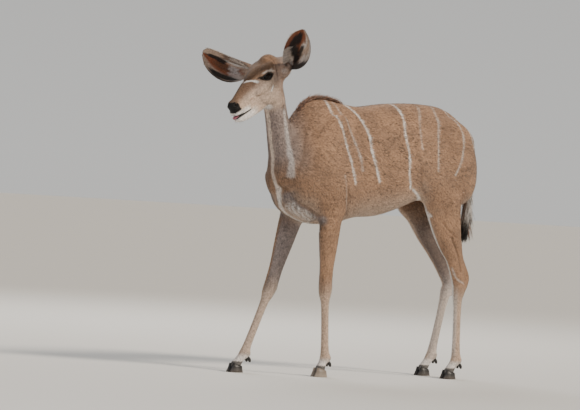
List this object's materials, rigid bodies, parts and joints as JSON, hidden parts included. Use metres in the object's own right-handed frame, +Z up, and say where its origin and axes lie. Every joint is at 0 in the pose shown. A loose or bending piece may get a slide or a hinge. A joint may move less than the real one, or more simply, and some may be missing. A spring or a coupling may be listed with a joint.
{
  "type": "greater kudu model",
  "caption": "Still, life-size greater kudu cow: thin pale stripes, large cupped ears, short mane, standing on cloven hooves with its head raised. Museum-type display model.",
  "frame": {"origin": "middle of the model's foot box, on the floor under the soles", "axes": "+Z up, the animal faces -X, its left side is at -Y"},
  "size_m": [1.4746, 0.5498, 1.5417],
  "materials": {
    "fawn_coat": "short warm fawn hair, matte",
    "grey_coat": "short grey-fawn hair, matte",
    "leg_coat": "very short fawn hair, matte",
    "ear_skin": "thin haired skin, matte",
    "eye": "dark, wet gloss",
    "hoof": "worn black horn",
    "tail_hair": "long coarse hair",
    "tongue": "moist pink"
  },
  "bodies": {
    "root": {"torso": "fawn_coat", "neck": "grey_coat", "head": "fawn_coat", "tail": "tail_hair", "ear_left": "ear_skin", "ear_right": "ear_skin", "eye_left": "eye", "eye_right": "eye", "tongue": "tongue", "foreleg_left_upper": "leg_coat", "foreleg_left_lower": "leg_coat", "foreleg_left_hoof": "hoof", "foreleg_right_upper": "leg_coat", "foreleg_right_lower": "leg_coat", "foreleg_right_hoof": "hoof", "hindleg_left_upper": "leg_coat", "hindleg_left_lower": "leg_coat", "hindleg_left_hoof": "hoof", "hindleg_right_upper": "leg_coat", "hindleg_right_lower": "leg_coat", "hindleg_right_hoof": "hoof"}
  },
  "joints": []
}
